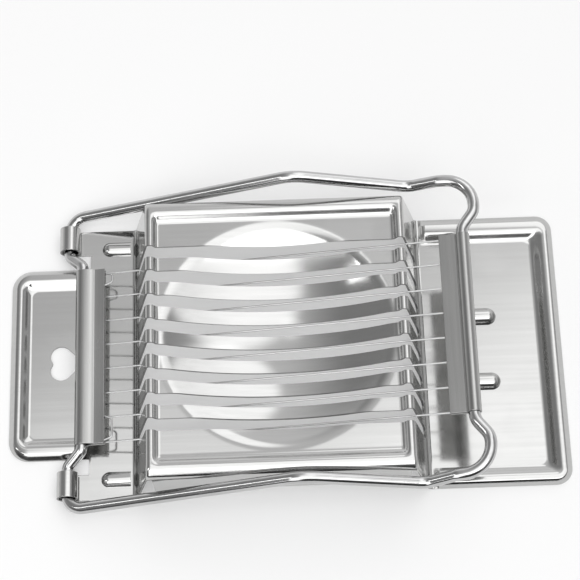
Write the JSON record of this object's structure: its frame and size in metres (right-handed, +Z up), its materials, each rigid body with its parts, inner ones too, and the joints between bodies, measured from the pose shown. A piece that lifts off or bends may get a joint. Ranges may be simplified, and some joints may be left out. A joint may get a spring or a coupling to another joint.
{
  "type": "egg slicer",
  "caption": "Pressed steel egg slicer: slotted base with a dished egg bed and a heart-shaped hanging hole, and a hinged rod frame strung with cutting wires.",
  "frame": {"origin": "bottom centre of the whole slicer, on the table plane", "axes": "+X along the base from the hinge to the handle end, +Y to the far side as pictured, +Z up"},
  "size_m": [0.136, 0.0788, 0.0248],
  "materials": {
    "base_sheet": "polished pressed stainless sheet, fine brushing along",
    "frame_rod": "polished round rod",
    "bar_sheet": "satin rolled sheet",
    "wire": "bright drawn wire"
  },
  "bodies": {
    "base": {"hinge_end_plate": "base_sheet", "egg_bed": "base_sheet", "handle_end_plate": "base_sheet", "hinge_ear_far": "base_sheet", "hinge_ear_near": "base_sheet"},
    "cutter_frame": {"frame_rod_far": "frame_rod", "frame_rod_near": "frame_rod", "hinge_wire_bar": "bar_sheet", "handle_wire_bar": "bar_sheet", "cutting_wire_1": "wire", "cutting_wire_2": "wire", "cutting_wire_3": "wire", "cutting_wire_4": "wire", "cutting_wire_5": "wire", "cutting_wire_6": "wire", "cutting_wire_7": "wire", "cutting_wire_8": "wire", "wire_returns_hinge": "wire", "wire_returns_handle": "wire", "wire_tail_far": "wire", "wire_tail_near": "wire"}
  },
  "joints": [
    {"name": "frame_hinge", "type": "hinge", "parent": "base", "child": "cutter_frame", "pos_m": [-0.05345, 0, 0.00255], "axis": [0, -1, 0], "range_deg": [-9.1, 116]}
  ]
}
